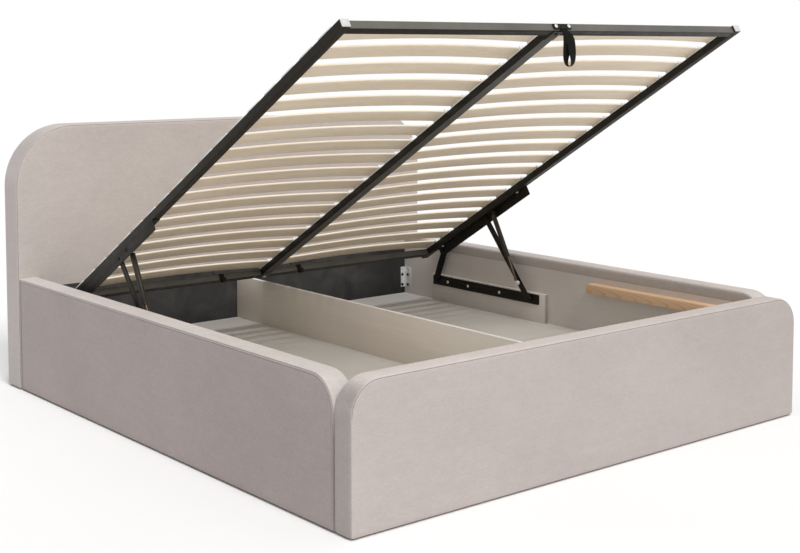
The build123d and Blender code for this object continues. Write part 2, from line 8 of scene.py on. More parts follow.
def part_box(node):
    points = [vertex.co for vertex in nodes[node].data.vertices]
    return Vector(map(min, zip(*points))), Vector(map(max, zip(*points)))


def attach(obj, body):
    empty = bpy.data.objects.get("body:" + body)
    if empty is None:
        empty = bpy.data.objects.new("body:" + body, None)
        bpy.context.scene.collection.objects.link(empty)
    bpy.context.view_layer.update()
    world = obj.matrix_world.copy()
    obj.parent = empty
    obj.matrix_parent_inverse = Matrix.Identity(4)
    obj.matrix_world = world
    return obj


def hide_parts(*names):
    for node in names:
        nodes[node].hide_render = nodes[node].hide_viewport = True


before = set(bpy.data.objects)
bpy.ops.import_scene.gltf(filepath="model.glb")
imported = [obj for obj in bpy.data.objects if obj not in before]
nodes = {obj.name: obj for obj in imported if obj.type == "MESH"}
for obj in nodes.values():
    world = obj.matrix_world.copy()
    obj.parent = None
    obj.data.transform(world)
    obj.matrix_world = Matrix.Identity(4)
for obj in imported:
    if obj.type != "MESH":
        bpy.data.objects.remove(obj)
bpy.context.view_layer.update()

# Sizes repeated from the part, in metres, and the platform's tilt
HEAD_TUBES = (0.7865, 0.350)
TILT = math.radians(30.7)
RAIL_INNER = 0.912
HEADBOARD_RADIUS = 0.235
SIDE_RADIUS = 0.100
STRIP_DEPTH = 0.042
SLAT_COUNT = 18
SLAT_PITCH = 0.1059
SLAT_FIRST = 1.892
SLAT_WIDTH = 0.066
SLAT_THICKNESS = 0.008
SLAT_LOW = 0.0275
SLAT_BOW = 0.013
LEFT_SLAT = (-0.868, -0.034)
RIGHT_SLAT = (-0.026, 0.868)
FOOT_TUBE_FACE = 1.979
STRAP_X = -0.015
STRAP_WIDTH = 0.038
STRAP_THICKNESS = 0.002

# Where the painted shade on the fabric and lining begins and ends, in metres
RAIL_JOINT = (0.9640, 0.9820)
SHADED_HEIGHT = (0.26, 0.34)
WHOLE_WIDTH = (-1.0, 1.0)
SHADED_LINING = (0.62, 0.78)

# The place that the pine's growth lines arch round, and how strongly they arch
GROWTH_MIDDLE = (0.868, 0, 0.336)
GROWTH_ARCH = -210.0

# The range in which nearly all values of a noise lie, and a slightly narrower one
NOISE_RANGE = (0.3, 0.7)
INNER_RANGE = (0.32, 0.68)


def place(x, along, above):
    """A point of the lifted platform, from its distance along the tubes and above their underside."""
    y, z = HEAD_TUBES
    return Vector((
        x,
        y - along * math.cos(TILT) + above * math.sin(TILT),
        z + along * math.sin(TILT) + above * math.cos(TILT),
    ))


def srgb(red, green, blue):
    """Linear colour from 0 to 255 values."""
    channels = []
    for value in (red, green, blue):
        share = value / 255
        channels.append(share / 12.92 if share <= 0.04045 else ((share + 0.055) / 1.055) ** 2.4)
    return (*channels, 1)


def grey(value):
    """Linear grey."""
    return (value, value, value, 1)


class Material:
    """A Principled material whose nodes are added one by one."""

    def __init__(self, name, roughness, metallic=0.0, specular=0.4):
        self.material = bpy.data.materials.new(name)
        self.material.use_nodes = True
        self.tree = self.material.node_tree
        self.shader = self.tree.nodes["Principled BSDF"]
        self.shader.inputs["Roughness"].default_value = roughness
        self.shader.inputs["Metallic"].default_value = metallic
        self.shader.inputs["Specular IOR Level"].default_value = specular
        self.coords = self.tree.nodes.new("ShaderNodeTexCoord").outputs["Object"]

    def fill(self, socket, value):
        """Links an output to a socket, or gives the socket a value."""
        if isinstance(value, bpy.types.NodeSocket):
            self.tree.links.new(value, socket)
        else:
            socket.default_value = value

    def node(self, kind, inputs, **settings):
        made = self.tree.nodes.new(kind)
        for key, value in settings.items():
            setattr(made, key, value)
        for key, value in inputs.items():
            self.fill(made.inputs[key], value)
        return made

    def stretched(self, x, y, z, turn=(0, 0, 0)):
        """Object coordinates with a scale of their own along each axis."""
        inputs = {"Vector": self.coords, "Scale": (x, y, z), "Rotation": turn}
        return self.node("ShaderNodeMapping", inputs).outputs["Vector"]

    def noise(self, scale, detail, vector=None, roughness=0.5, distortion=0.0):
        inputs = {
            "Vector": vector or self.coords,
            "Scale": scale,
            "Detail": detail,
            "Roughness": roughness,
            "Distortion": distortion,
        }
        return self.node("ShaderNodeTexNoise", inputs).outputs["Fac"]

    def ramp(self, value, limits, first, last):
        """Colour that goes from one to another as a value goes between two limits."""
        made = self.node("ShaderNodeValToRGB", {"Fac": value})
        stops = made.color_ramp.elements
        stops[0].position, stops[1].position = limits
        stops[0].color, stops[1].color = first, last
        return made.outputs["Color"]

    def span(self, value, limits, first, last):
        """Number that goes from one to another as a value goes between two limits."""
        low, high = limits
        inputs = {"Value": value, "From Min": low, "From Max": high, "To Min": first, "To Max": last}
        return self.node("ShaderNodeMapRange", inputs).outputs["Result"]

    def blend(self, kind, share, first, second):
        """Two colours blended."""
        made = self.node("ShaderNodeMix", {}, data_type="RGBA", blend_type=kind)
        for socket, value in ((made.inputs[0], share), (made.inputs[6], first), (made.inputs[7], second)):
            self.fill(socket, value)
        return made.outputs[2]

    def toned(self, share, colour, value, limits, first, last):
        """A colour multiplied by a ramp."""
        return self.blend("MULTIPLY", share, colour, self.ramp(value, limits, first, last))

    def calculated(self, operation, *values):
        return self.node("ShaderNodeMath", dict(enumerate(values)), operation=operation).outputs[0]

    def parts(self, vector):
        """X, Y and Z of a vector."""
        return self.node("ShaderNodeSeparateXYZ", {"Vector": vector}).outputs

    def vector(self, x, y, z):
        return self.node("ShaderNodeCombineXYZ", {"X": x, "Y": y, "Z": z}).outputs["Vector"]

    def bump(self, height, strength, distance, below=None):
        inputs = {"Height": height, "Strength": strength, "Distance": distance}
        if below is not None:
            inputs["Normal"] = below
        return self.node("ShaderNodeBump", inputs).outputs["Normal"]

    def link(self, socket, output):
        self.tree.links.new(output, self.shader.inputs[socket])

    def finished(self, colour, roughness, normal):
        """The material, once its colour, roughness and bump are linked."""
        self.link("Base Color", colour)
        self.link("Roughness", roughness)
        self.link("Normal", normal)
        return self.material


def painted_light_and_shade(made, colour, side=1.0, top=1.0, slant=1.0, joint=1.0, low=1.0, right=1.0):
    """Painted light and shade: tones of the side edges, top, rounded corners, headboard joint, lower part and
    right end, for how light and shadow fall there.
    """
    facing = made.parts(made.tree.nodes.new("ShaderNodeTexCoord").outputs["Normal"])
    at = made.parts(made.coords)
    sideways = made.calculated("ABSOLUTE", facing["X"])
    slanted = made.calculated("MULTIPLY", sideways, facing["Z"])
    for value, limits, first, last in (
        (sideways, (0.48, 0.76), 1.0, side),
        (facing["Z"], (0.55, 0.90), 1.0, top),
        (slanted, (0.22, 0.46), 1.0, slant),
        (at["Y"], RAIL_JOINT, 1.0, joint),
        (at["Z"], SHADED_HEIGHT, low, 1.0),
        (at["X"], WHOLE_WIDTH, 1.0, right),
    ):
        colour = made.blend("MULTIPLY", 1.0, colour, made.span(value, limits, first, last))
    return colour


def velvet(name, dark, light, sheen=1.0, **tones):
    """Short pile microfibre with brushed patches, level streaks and a fine grain, with painted light and
    shade by facing and place.
    """
    made = Material(name, 0.92, specular=0.25)
    clouds = made.noise(2.4, 3.0, made.stretched(1.0, 1.0, 1.3), distortion=0.3)
    patches = made.noise(26.0, 5.0, made.stretched(0.8, 0.8, 1.5), roughness=0.62, distortion=0.4)
    flecks = made.noise(95.0, 4.0, made.stretched(0.7, 0.7, 1.7), roughness=0.65, distortion=0.3)
    streaks = made.noise(7.0, 3.0, made.stretched(1.0, 1.0, 34.0), roughness=0.6)
    grain = made.noise(460.0, 3.0, roughness=0.7)
    colour = made.ramp(clouds, NOISE_RANGE, dark, light)
    for value, share, least, most in (
        (patches, 0.60, 0.94, 1.045),
        (flecks, 0.65, 0.92, 1.06),
        (streaks, 0.50, 0.965, 1.025),
        (grain, 0.60, 0.84, 1.12),
    ):
        colour = made.toned(share, colour, value, INNER_RANGE, grey(least), grey(most))
    # Painted light and shade on the fabric, by which way it faces and where it is
    colour = painted_light_and_shade(made, colour, **tones)
    roughness = made.span(patches, NOISE_RANGE, 0.86, 0.97)
    normal = made.bump(patches, strength=0.10, distance=0.0020)
    normal = made.bump(flecks, strength=0.16, distance=0.0010, below=normal)
    normal = made.bump(grain, strength=0.40, distance=0.0006, below=normal)
    made.shader.inputs["Sheen Weight"].default_value = 0.35 * sheen
    made.shader.inputs["Sheen Roughness"].default_value = 0.45
    made.shader.inputs["Sheen Tint"].default_value = srgb(232, 222, 218)
    return made.finished(colour, roughness, normal)


def lining():
    """Dark non-woven cloth with pressed dots and smoky patches, with painted shade toward the right."""
    made = Material("charcoal_lining", 0.9, specular=0.2)
    smoke = made.noise(7.0, 6.0, roughness=0.62, distortion=0.8)
    fibres = made.noise(140.0, 4.0, made.stretched(1.0, 1.0, 0.5), roughness=0.7, distortion=1.2)
    dots = made.node("ShaderNodeTexVoronoi", {"Vector": made.coords, "Scale": 260.0, "Randomness": 0.15})
    colour = made.ramp(smoke, (0.30, 0.72), srgb(44, 43, 42), srgb(70, 69, 67))
    # Painted shade, darker toward the right end
    colour = made.toned(1.0, colour, made.parts(made.coords)["X"], SHADED_LINING, grey(1.0), grey(0.45))
    colour = made.toned(0.6, colour, fibres, NOISE_RANGE, grey(0.75), grey(1.2))
    roughness = made.span(fibres, NOISE_RANGE, 0.8, 0.95)
    normal = made.bump(dots.outputs["Distance"], strength=0.35, distance=0.0006)
    normal = made.bump(fibres, strength=0.3, distance=0.0006, below=normal)
    made.shader.inputs["Sheen Weight"].default_value = 0.15
    return made.finished(colour, roughness, normal)


def board(name, dark, light, roughness, stretch):
    """Laminated board with a faint print of grain and a fine matt texture."""
    made = Material(name, roughness, specular=0.35)
    haze = made.noise(2.6, 3.0)
    lines = made.noise(16.0, 5.0, made.stretched(*stretch), roughness=0.6, distortion=0.4)
    pores = made.noise(600.0, 2.0)
    colour = made.ramp(haze, NOISE_RANGE, dark, light)
    colour = made.toned(0.5, colour, lines, INNER_RANGE, (0.93, 0.93, 0.92, 1), grey(1.04))
    matt = made.span(lines, NOISE_RANGE, roughness - 0.06, roughness + 0.08)
    return made.finished(colour, matt, made.bump(pores, strength=0.12, distance=0.0003))


def chipboard():
    """Raw chipboard: flakes of several tones."""
    made = Material("chipboard", 0.85, specular=0.25)
    flakes = made.node("ShaderNodeTexVoronoi", {"Vector": made.stretched(1.0, 1.0, 1.6), "Scale": 260.0})
    tone = made.noise(90.0, 4.0, roughness=0.7)
    wood = made.ramp(tone, NOISE_RANGE, srgb(150, 118, 82), srgb(206, 176, 136))
    colour = made.blend("MULTIPLY", 0.35, wood, flakes.outputs["Color"])
    roughness = made.span(tone, NOISE_RANGE, 0.75, 0.95)
    normal = made.bump(flakes.outputs["Distance"], strength=0.4, distance=0.0006)
    return made.finished(colour, roughness, normal)


def growth_lines(made):
    """Arched lines nested along a batten, as waves over its distance from the middle of its growth."""
    at = made.parts(made.coords)
    section = made.vector(made.calculated("ABSOLUTE", at["X"]), 0.0, at["Z"])
    difference = {0: section, 1: GROWTH_MIDDLE}
    offset = made.node("ShaderNodeVectorMath", difference, operation="SUBTRACT").outputs[0]
    squared = {0: offset, 1: offset}
    bowed = made.node("ShaderNodeVectorMath", squared, operation="DOT_PRODUCT").outputs["Value"]
    along = made.calculated("MULTIPLY_ADD", bowed, GROWTH_ARCH, at["Y"])
    rings = {
        "Vector": made.vector(0.0, along, 0.0),
        "Scale": 4.0,
        "Distortion": 6.0,
        "Detail": 3.0,
        "Detail Scale": 1.9,
    }
    waves = made.node("ShaderNodeTexWave", rings, wave_type="BANDS", bands_direction="Y", wave_profile="SAW")
    return waves.outputs["Fac"]


def pine():
    """Flat sawn pine: arched growth lines, fine fibre and a few knots."""
    made = Material("pine", 0.6, specular=0.35)
    fibre = made.noise(60.0, 5.0, made.stretched(6.0, 0.12, 6.0), roughness=0.6)
    knots = made.node("ShaderNodeTexVoronoi", {"Vector": made.stretched(1.0, 0.35, 1.0), "Scale": 9.0})
    colour = made.ramp(growth_lines(made), (0.0, 0.40), srgb(199, 160, 126), srgb(220, 187, 154))
    colour = made.toned(0.6, colour, fibre, NOISE_RANGE, (0.86, 0.83, 0.78, 1), (1.05, 1.05, 1.04, 1))
    from_knot = knots.outputs["Distance"]
    colour = made.toned(0.7, colour, from_knot, (0.03, 0.09), (0.42, 0.26, 0.14, 1), grey(1.0))
    roughness = made.span(fibre, NOISE_RANGE, 0.5, 0.7)
    return made.finished(colour, roughness, made.bump(fibre, strength=0.3, distance=0.0006))


def birch(name, dark, light):
    """Pale veneer with long thin grain along the slats of the tilted platform."""
    made = Material(name, 0.55, specular=0.35)
    tilt = (TILT, 0, 0)
    long_grain = made.noise(30.0, 6.0, made.stretched(0.35, 9.0, 9.0, tilt), roughness=0.62, distortion=0.3)
    bands = made.noise(5.0, 2.0, made.stretched(0.25, 3.2, 3.2, tilt))
    flecks = made.noise(300.0, 3.0, made.stretched(0.10, 1.0, 1.0, tilt), roughness=0.6)
    colour = made.ramp(bands, NOISE_RANGE, dark, light)
    colour = made.toned(0.7, colour, long_grain, NOISE_RANGE, (0.86, 0.84, 0.80, 1), (1.05, 1.05, 1.04, 1))
    colour = made.toned(0.5, colour, flecks, (0.35, 0.65), (0.88, 0.86, 0.83, 1), grey(1.03))
    roughness = made.span(long_grain, NOISE_RANGE, 0.46, 0.64)
    return made.finished(colour, roughness, made.bump(long_grain, strength=0.15, distance=0.0005))


def moulded(name, dark, light, roughness):
    """Moulded plastic with a faint flow pattern and fine texture."""
    made = Material(name, roughness, specular=0.5)
    flow = made.noise(28.0, 3.0, distortion=0.6)
    texture = made.noise(900.0, 2.0)
    colour = made.ramp(flow, NOISE_RANGE, dark, light)
    matt = made.span(flow, NOISE_RANGE, roughness - 0.05, roughness + 0.08)
    return made.finished(colour, matt, made.bump(texture, strength=0.12, distance=0.0003))


def coated(name, dark, light, roughness, worn=0.0):
    """Powder coated steel: orange peel, slight tone drift and worn spots."""
    made = Material(name, roughness, specular=0.32)
    made.shader.inputs["Specular Tint"].default_value = srgb(255, 243, 226)
    drift = made.noise(6.0, 4.0, roughness=0.6, distortion=0.4)
    peel = made.noise(420.0, 2.0)
    rub = made.noise(34.0, 6.0, made.stretched(1.0, 0.6, 1.0), roughness=0.7)
    colour = made.ramp(drift, NOISE_RANGE, dark, light)
    colour = made.blend("ADD", worn, colour, made.ramp(rub, (0.60, 0.78), grey(0.0), (0.12, 0.12, 0.115, 1)))
    matt = made.span(rub, NOISE_RANGE, roughness - 0.06, roughness + 0.10)
    return made.finished(colour, matt, made.bump(peel, strength=0.16, distance=0.0004))


def plated(name, dark, light, roughness, metallic):
    """Bright plating with a faint spangle and brushed streaks."""
    made = Material(name, roughness, metallic=metallic)
    spangle = made.noise(180.0, 3.0, roughness=0.6)
    brushed = made.noise(50.0, 4.0, made.stretched(1.0, 1.0, 14.0), roughness=0.6)
    colour = made.ramp(spangle, NOISE_RANGE, dark, light)
    polish = made.span(brushed, NOISE_RANGE, roughness - 0.08, roughness + 0.12)
    return made.finished(colour, polish, made.bump(brushed, strength=0.12, distance=0.0003))


def webbing():
    """Black ribbed strap weave."""
    made = Material("black_webbing", 0.75, specular=0.12)

    def yarns(scale, distortion, direction):
        inputs = {"Vector": made.coords, "Scale": scale, "Distortion": distortion}
        return made.node("ShaderNodeTexWave", inputs, bands_direction=direction).outputs["Fac"]

    both = made.calculated("ADD", yarns(260.0, 0.4, "Z"), yarns(180.0, 0.5, "X"))
    tone = made.noise(40.0, 3.0, roughness=0.6)
    colour = made.ramp(tone, NOISE_RANGE, srgb(12, 12, 11), srgb(25, 24, 23))
    mean = made.calculated("MULTIPLY", both, 0.5)
    colour = made.toned(0.5, colour, mean, (0.2, 0.8), grey(0.55), grey(1.35))
    roughness = made.span(tone, NOISE_RANGE, 0.62, 0.82)
    return made.finished(colour, roughness, made.bump(both, strength=0.5, distance=0.0006))


# Painted shade on the velvet's side edges, rounded corners and the rails' lower parts, and on the footboard a
# painted lighter top and a painted darker right end
FABRIC = velvet("greige_velvet", srgb(186, 178, 174), srgb(193, 185, 181), side=0.90, slant=0.86)
RAIL_EDGE = velvet("greige_velvet_rail_edge", srgb(190, 182, 178), srgb(197, 189, 185), side=0.84, low=0.62)
FOOT_FABRIC = velvet(
    "greige_velvet_footboard", srgb(182, 173, 169), srgb(189, 180, 176),
    side=0.78, top=1.18, slant=0.86, right=0.86,
)
# Painted shade: a darker copy of the velvet for the rails' outer faces, with a painted shadow at the joint
# with the headboard
SHADED_RAIL_FABRIC = velvet("greige_velvet_painted_shade", srgb(160, 149, 147), srgb(167, 156, 154), 0.8, joint=0.34)
# Painted shade: a darker copy of the velvet for the seam grooves
SEAM = velvet("velvet_seam_painted_shade", srgb(138, 129, 125), srgb(153, 144, 140), 0.4)
THREAD = velvet("seam_thread", srgb(140, 129, 126), srgb(158, 147, 143), 0.4)
LINING = lining()
LAMINATE = board("beige_laminate", srgb(197, 191, 186), srgb(209, 203, 198), 0.5, (1.0, 0.3, 7.0))
BOARD_EDGE = board("board_edge_banding", srgb(136, 129, 121), srgb(150, 143, 135), 0.55, (1.0, 1.0, 1.0))
# Painted light: a lighter copy of the laminate for the divider, which stands in shade
PAINTED_LIGHT_DIVIDER = board("divider_laminate_painted_light", srgb(220, 210, 198), srgb(228, 220, 208), 0.5, (1.0, 0.3, 7.0))
FLOOR_PANEL = board("pale_floor_panel", srgb(185, 181, 174), srgb(196, 192, 186), 0.55, (7.0, 0.3, 1.0))
EDGING = board("white_edging", srgb(232, 230, 226), srgb(242, 240, 237), 0.45, (1.0, 0.3, 1.0))
CHIPBOARD = chipboard()
PINE = pine()
SLAT_FACE = birch("birch", srgb(228, 212, 189), srgb(240, 227, 207))
SLAT_EDGE = birch("birch_edge", srgb(230, 216, 196), srgb(240, 228, 211))
BLACK_PLASTIC = moulded("black_plastic", srgb(24, 24, 24), srgb(36, 36, 35), 0.5)
CAP_PLASTIC = moulded("greyish_cap_plastic", srgb(192, 192, 189), srgb(206, 206, 203), 0.42)
WHITE_PLASTIC = moulded("white_plastic", srgb(222, 222, 219), srgb(238, 238, 235), 0.42)
STEEL = coated("black_steel", srgb(20, 19, 16), srgb(28, 26, 23), 0.55, 0.07)
# Painted light: lighter copies of the black steel for the tubes' foot-facing faces and the centre beam's
# underside, with rubbed spots as well
PAINTED_LIGHT_STEEL = coated("black_steel_faces_painted_light", srgb(88, 87, 82), srgb(103, 101, 96), 0.50, 0.15)
BEAM_STEEL = coated("black_steel_beam_underside_painted_light", srgb(66, 64, 60), srgb(77, 75, 71), 0.50, 0.15)
PIVOT_STEEL = coated("blackened_pins", srgb(5, 5, 5), srgb(9, 9, 8), 0.75)
MECHANISM = coated("black_mechanism", srgb(11, 11, 10), srgb(17, 16, 15), 0.52, 0.06)
CYLINDER = coated("dark_cylinder", srgb(44, 40, 35), srgb(56, 51, 45), 0.34, 0.15)
ROD = plated("dark_rod", srgb(78, 62, 54), srgb(100, 82, 72), 0.30, 0.6)
ZINC = plated("zinc_steel", srgb(206, 207, 206), srgb(232, 232, 230), 0.34, 0.35)
# Painted light: a whiter, less metallic copy of the zinc so the frame bolts under the platform look lit
PAINTED_LIGHT_ZINC = plated("zinc_bolts_painted_light", srgb(238, 238, 236), srgb(251, 251, 249), 0.32, 0.1)
WEBBING = webbing()

# CAD nodes whose shape stays, with the material of each
PLAIN = {
    "headboard_core": CHIPBOARD,
    "footboard_core": CHIPBOARD,
    "side_rail_core_left": CHIPBOARD,
    "side_rail_core_right": CHIPBOARD,
    "floor_bearers": CHIPBOARD,
    "headboard_lining": LINING,
    "footboard_inner_board": LAMINATE,
    "side_rail_inner_board_left": LAMINATE,
    "side_rail_inner_board_right": LAMINATE,
    "floor_panel_left": FLOOR_PANEL,
    "floor_panel_right": FLOOR_PANEL,
    "divider_edging": EDGING,
    "support_feet": BLACK_PLASTIC,
    "floor_glides": BLACK_PLASTIC,
}
for node_name, node_material in PLAIN.items():
    for material_slot in nodes[node_name].material_slots:
        material_slot.material = node_material


def finish_mesh(name, bm, materials, smooth_angle):
    """Object from a bmesh, with smooth faces and sharp edges where it turns more than an angle in degrees."""
    bmesh.ops.recalc_face_normals(bm, faces=bm.faces)
    mesh = bpy.data.meshes.new(name)
    bm.to_mesh(mesh)
    bm.free()
    for material in materials:
        mesh.materials.append(material)
    for polygon in mesh.polygons:
        polygon.use_smooth = True
    mesh.set_sharp_from_angle(angle=math.radians(smooth_angle))
    piece = bpy.data.objects.new(name, mesh)
    bpy.context.scene.collection.objects.link(piece)
    return piece


def skin(bm, rings, indices):
    """Closed tube over rings of points, with a material index for each of the strips along it."""
    for first, second in zip(rings, rings[1:]):
        for step, index in enumerate(indices):
            following = (step + 1) % len(indices)
            face = bm.faces.new((first[step], first[following], second[following], second[step]))
            face.material_index = index
    bm.faces.new(list(reversed(rings[0])))
    bm.faces.new(rings[-1])


# Points closer than this become one, and edges that turn less than this are dissolved
MERGE_DISTANCE = 0.000002
FLAT_ANGLE = math.radians(0.6)
# Edges that turn more than this are rounded, in so many steps
HARD_ANGLE = math.radians(38)
SOFT_SEGMENTS = 2


def softened(node_name, width, material, material_slot, body):
    """A copy of a CAD node with its hard edges rounded, in its place."""
    bm = bmesh.new()
    bm.from_mesh(nodes[node_name].data)
    bmesh.ops.remove_doubles(bm, verts=bm.verts, dist=MERGE_DISTANCE)
    bmesh.ops.dissolve_limit(bm, angle_limit=FLAT_ANGLE, verts=bm.verts, edges=bm.edges)
    hard = [edge for edge in bm.edges if edge.is_manifold and edge.calc_face_angle(0) > HARD_ANGLE]
    bmesh.ops.bevel(
        bm, geom=hard, offset=width, segments=SOFT_SEGMENTS, profile=0.5, affect="EDGES", clamp_overlap=True
    )
    piece = finish_mesh(f"{node_name}_soft_edges", bm, [material], smooth_angle=32)
    if "custom_normal" in piece.data.attributes:
        piece.data.attributes.remove(piece.data.attributes["custom_normal"])
    for polygon in piece.data.polygons:
        polygon.material_index = 0
    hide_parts(node_name)
    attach(piece, body)
    return piece


# Node, width of its rounded edges, material, material slot and body
SOFTENED = [
    ("divider_board", 0.0006, PAINTED_LIGHT_DIVIDER, "beige_laminate", "bed_base"),
    ("lift_mount_board_left", 0.0010, LAMINATE, "beige_laminate", "bed_base"),
    ("lift_mount_board_right", 0.0010, LAMINATE, "beige_laminate", "bed_base"),
    ("ledge_batten_left", 0.0020, PINE, "pine", "bed_base"),
    ("ledge_batten_right", 0.0020, PINE, "pine", "bed_base"),
    ("lift_base_plate_left", 0.0008, MECHANISM, "black_steel", "bed_base"),
    ("lift_base_plate_right", 0.0008, MECHANISM, "black_steel", "bed_base"),
    ("base_pivots", 0.0008, MECHANISM, "black_steel", "bed_base"),
    ("base_plate_screws", 0.0010, ZINC, "zinc_steel", "bed_base"),
    ("bracket_screws", 0.0010, MECHANISM, "black_steel", "bed_base"),
    ("corner_brackets", 0.0005, ZINC, "zinc_steel", "bed_base"),
    ("side_tube_left", 0.0018, STEEL, "black_steel", "platform"),
    ("side_tube_right", 0.0018, STEEL, "black_steel", "platform"),
    ("centre_beam", 0.0018, MECHANISM, "black_steel", "platform"),
    ("head_tube", 0.0018, MECHANISM, "black_steel", "platform"),
    ("foot_tube", 0.0018, STEEL, "black_steel", "platform"),
    ("tube_end_caps", 0.0016, CAP_PLASTIC, "white_plastic", "platform"),
    ("lift_angle_left", 0.0008, STEEL, "black_steel", "platform"),
    ("lift_angle_right", 0.0008, MECHANISM, "black_steel", "platform"),
    ("platform_pivots", 0.0008, PIVOT_STEEL, "black_steel", "platform"),
    ("frame_bolts", 0.0010, PAINTED_LIGHT_ZINC, "zinc_steel", "platform"),
    ("slat_holders_left", 0.0022, WHITE_PLASTIC, "white_plastic", "platform"),
    ("slat_holders_right", 0.0022, WHITE_PLASTIC, "white_plastic", "platform"),
    ("slat_holders_centre", 0.0022, WHITE_PLASTIC, "white_plastic", "platform"),
    ("strap_plate", 0.0008, MECHANISM, "black_steel", "platform"),
    ("strap_screws", 0.0010, ZINC, "zinc_steel", "platform"),
    ("head_clips", 0.0012, MECHANISM, "black_steel", "platform"),
]
for side in ("left", "right"):
    SOFTENED.append((f"front_arm_{side}", 0.0008, MECHANISM, "black_steel", f"front_arm_{side}"))
    SOFTENED.append((f"rear_link_{side}", 0.0008, MECHANISM, "black_steel", f"rear_link_{side}"))
    SOFTENED.append((f"gas_cylinder_{side}", 0.0008, CYLINDER, "black_steel", f"gas_cylinder_{side}"))
    SOFTENED.append((f"gas_collar_{side}", 0.0005, CYLINDER, "zinc_steel", f"gas_cylinder_{side}"))
    SOFTENED.append((f"gas_rod_{side}", 0.0005, ROD, "dark_rod", f"gas_rod_{side}"))
    SOFTENED.append((f"gas_end_stud_{side}", 0.0012, ZINC, "zinc_steel", f"gas_rod_{side}"))
soft_pieces = {row[0]: softened(*row) for row in SOFTENED}


# How squarely a face has to look along a direction to count as facing it, as a cosine
FACING = 0.9
# The frame bolts nearer the foot end than this are black
BLACK_BOLTS_Y = -0.5


def second_material_facing(piece, direction, material):
    """Gives the faces that look one way a second material."""
    piece.data.materials.append(material)
    last = len(piece.data.materials) - 1
    for polygon in piece.data.polygons:
        if polygon.normal.dot(direction) > FACING:
            polygon.material_index = last


# Painted light on the beam's underside and the tubes' foot-facing faces; the mount boards' foot-end faces get
# the darker edge colour
underside = place(0, 0, -1) - place(0, 0, 0)
footward = place(0, 1, 0) - place(0, 0, 0)
second_material_facing(soft_pieces["centre_beam"], underside, BEAM_STEEL)
second_material_facing(soft_pieces["head_tube"], footward, PAINTED_LIGHT_STEEL)
second_material_facing(soft_pieces["foot_tube"], footward, PAINTED_LIGHT_STEEL)
for side in ("left", "right"):
    second_material_facing(soft_pieces[f"lift_mount_board_{side}"], Vector((0, -1, 0)), BOARD_EDGE)
bolts = soft_pieces["frame_bolts"].data
bolts.materials.append(MECHANISM)
for bolt_face in bolts.polygons:
    if bolt_face.center.y < BLACK_BOLTS_Y:
        bolt_face.material_index = 1


# Points of a cover's outline: about this far apart, with at least these steps round a corner and along a side
POINT_SPACING = 0.014
CORNER_STEPS = 6
SIDE_STEPS = 2
# The radius that an inset corner keeps at least
LEAST_RADIUS = 0.0006


def corner_arcs(low, high, radii, insets):
    """Arcs of the corners of an inset rounded rectangle, counterclockwise from its lower right one."""
    near, far, below, above = insets
    across0, up0 = low[0] + near, low[1] + below
    across1, up1 = high[0] - far, high[1] - above
    arcs = []
    for whole, inset, corner_x, corner_z, sign_x, sign_z, start in (
        (radii[0], max(far, below), across1, up0, -1, 1, -90),
        (radii[1], max(far, above), across1, up1, -1, -1, 0),
        (radii[2], max(near, above), across0, up1, 1, -1, 90),
        (radii[3], max(near, below), across0, up0, 1, 1, 180),
    ):
        radius = max(whole - inset, LEAST_RADIUS)
        centre = (corner_x + sign_x * radius, corner_z + sign_z * radius)
        steps = max(CORNER_STEPS, int(whole * math.pi / 2 / POINT_SPACING))
        arc = []
        for step in range(steps + 1):
            angle = math.radians(start + 90 * step / steps)
            arc.append((centre[0] + radius * math.cos(angle), centre[1] + radius * math.sin(angle)))
        arcs.append(arc)
    return arcs


def loop_points(low, high, radii, insets):
    """Rounded rectangle inset from its outline, with the same count of points whatever the insets."""
    arcs = corner_arcs(low, high, radii, insets)
    width, height = high[0] - low[0], high[1] - low[1]
    points = []
    for arc, following_arc, length in zip(arcs, arcs[1:] + arcs[:1], (height, width, height, width)):
        points.extend(arc)
        last, following = arc[-1], following_arc[0]
        steps = max(SIDE_STEPS, int(length / POINT_SPACING))
        for step in range(1, steps):
            share = step / steps
            points.append((
                last[0] + (following[0] - last[0]) * share,
                last[1] + (following[1] - last[1]) * share,
            ))
    return points


# The length over which the fabric's unevenness changes
PUCKER_SIZE = 0.032
# Away from a side without one, a seam begins after this share of this length, grows over the length, and has
# its painted shade where it is stronger than this
SEAM_FADE = 0.030
SEAM_FADE_START = 0.2
SEAM_SHOWN = 0.5
# Places of the seam and the face fabric among a cover's materials, after the edge fabric
SEAM_INDEX = 1
FACE_INDEX = 2


def wobble(point, amount):
    """Small repeatable unevenness of sewn fabric."""
    return noise.noise(point / PUCKER_SIZE) * amount


